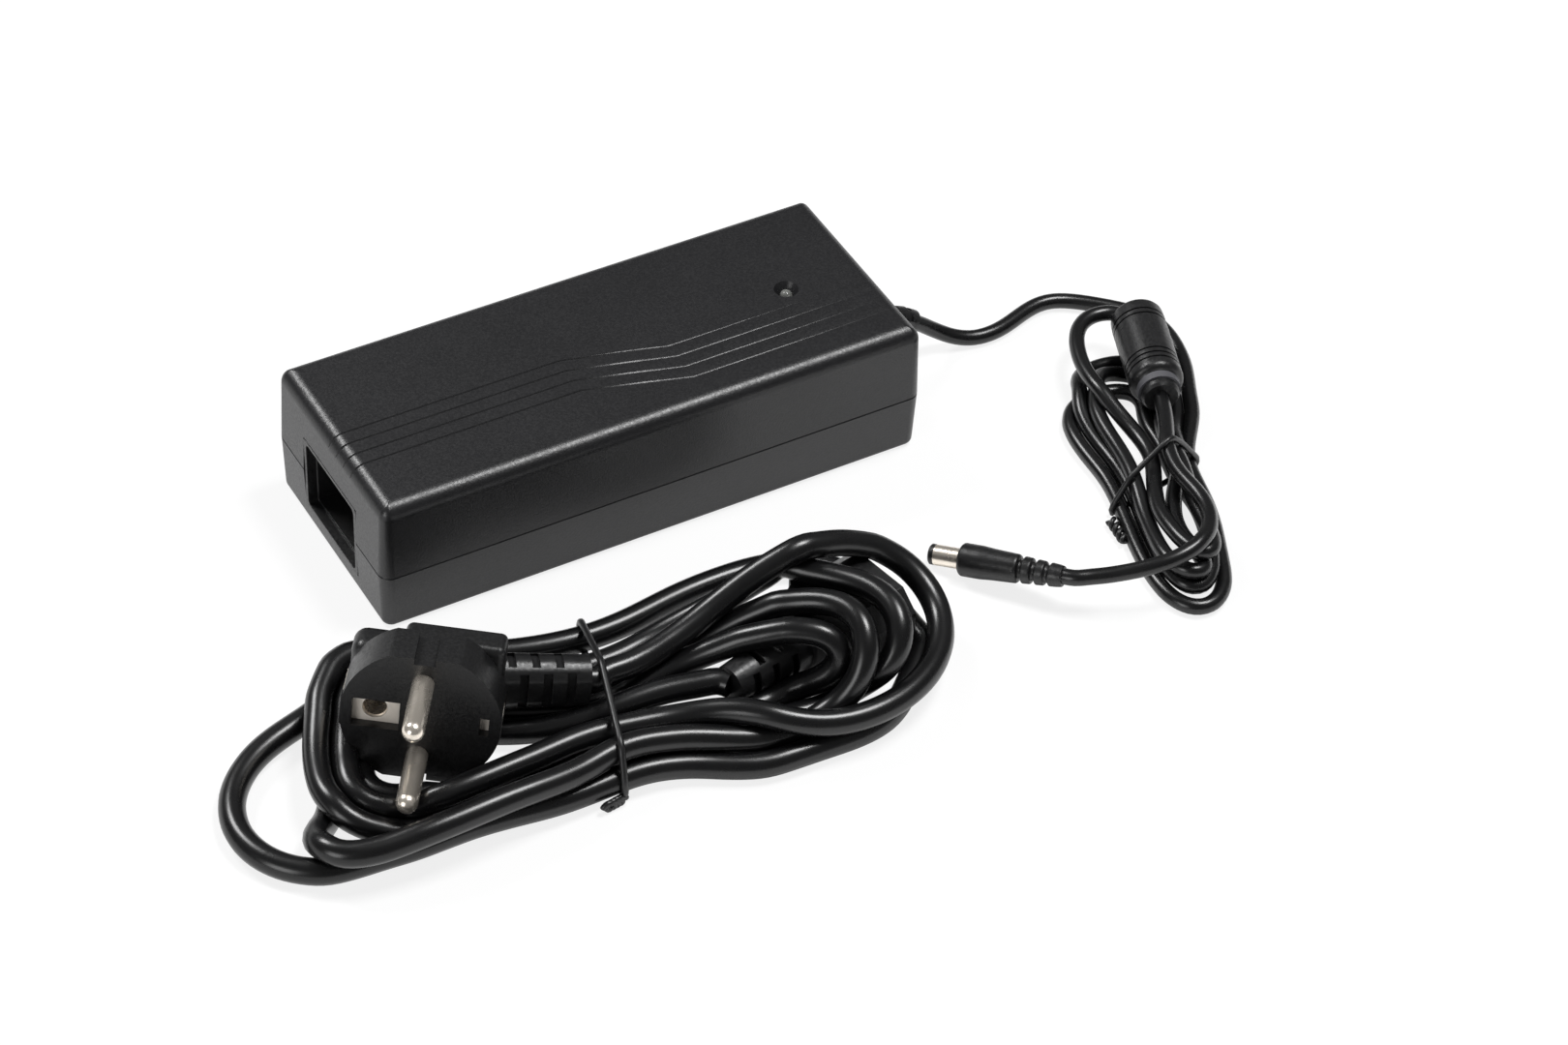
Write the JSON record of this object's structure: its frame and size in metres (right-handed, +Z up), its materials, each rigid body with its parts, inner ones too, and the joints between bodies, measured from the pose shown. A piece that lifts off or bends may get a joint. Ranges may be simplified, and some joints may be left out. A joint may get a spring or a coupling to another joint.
{
  "type": "laptop power adapter",
  "caption": "Laptop power adapter: sealed black supply with an appliance inlet, a fixed low-voltage cord with ferrite and barrel plug, and a coiled mains lead with an angled earthed plug.",
  "frame": {"origin": "centre of the housing's underside, on the table", "axes": "+X along the housing toward the low-voltage cord's end, -X the appliance inlet's end, +Y across, away from the coiled mains lead, +Z up from the table"},
  "size_m": [0.268, 0.1375, 0.0352],
  "materials": {
    "housing_plastic": "fine matt texture",
    "moulded_pvc": "satin",
    "cord_pvc": "satin gloss",
    "tie_plastic": "satin",
    "nickel_plate": "nickel plated, polished",
    "board_laminate": "satin",
    "ferrite": "matt",
    "copper_wire": "enamelled",
    "copper_foil": "dull",
    "winding_tape": "satin",
    "cream_nylon": "satin",
    "aluminium_sheet": "plain",
    "capacitor_sleeve": "satin sleeve",
    "package_epoxy": "matt",
    "led_lens": "clear",
    "wire_red": "satin",
    "wire_black": "satin"
  },
  "bodies": {
    "adapter": {"bottom_cover": "housing_plastic", "top_cover": "housing_plastic", "mains_inlet": "moulded_pvc", "inlet_earth_blade": "nickel_plate", "inlet_line_blade": "nickel_plate", "inlet_neutral_blade": "nickel_plate", "circuit_board": "board_laminate", "mains_fuse": "capacitor_sleeve", "x_capacitor": "capacitor_sleeve", "common_choke_core": "ferrite", "common_choke_windings": "copper_wire", "bridge_rectifier": "package_epoxy", "bulk_capacitor": "capacitor_sleeve", "primary_heatsink": "aluminium_sheet", "power_transistor": "package_epoxy", "transformer_core": "ferrite", "transformer_bobbin": "cream_nylon", "transformer_winding": "winding_tape", "safety_capacitor": "capacitor_sleeve", "optocoupler": "cream_nylon", "controller_ic": "package_epoxy", "secondary_heatsink": "aluminium_sheet", "output_rectifier": "package_epoxy", "output_choke_core": "ferrite", "output_choke_winding": "copper_wire", "output_capacitor_1": "capacitor_sleeve", "output_capacitor_2": "capacitor_sleeve", "insulation_sheet": "cream_nylon", "emi_shield": "copper_foil", "status_led": "led_lens", "output_lead_positive": "wire_red", "output_lead_negative": "wire_black", "cord_strain_relief": "moulded_pvc", "dc_cord_lead": "cord_pvc", "dc_cord_hank": "cord_pvc", "dc_cord_tail": "cord_pvc", "ferrite_core": "ferrite", "ferrite_case": "moulded_pvc", "dc_plug_grip": "moulded_pvc", "dc_plug_sleeve": "nickel_plate", "dc_plug_insulator": "moulded_pvc", "dc_plug_contact": "nickel_plate", "dc_cord_tie": "tie_plastic"},
    "mains_lead": {"mains_plug_body": "moulded_pvc", "mains_plug_bridge": "cream_nylon", "mains_line_pin": "nickel_plate", "mains_neutral_pin": "nickel_plate", "mains_earth_strip": "nickel_plate", "mains_earth_socket": "nickel_plate", "mains_cord_start": "cord_pvc", "mains_cord_hank": "cord_pvc", "mains_cord_end": "cord_pvc", "mains_connector_body": "moulded_pvc", "mains_cord_tie": "tie_plastic", "connector_earth_contact": "nickel_plate", "connector_line_contact": "nickel_plate", "connector_neutral_contact": "nickel_plate"}
  },
  "joints": [
    {"name": "mains_lead_lift", "type": "slide", "parent": "adapter", "child": "mains_lead", "axis": [0, 0, 1], "range_m": [0, 0.1]}
  ]
}
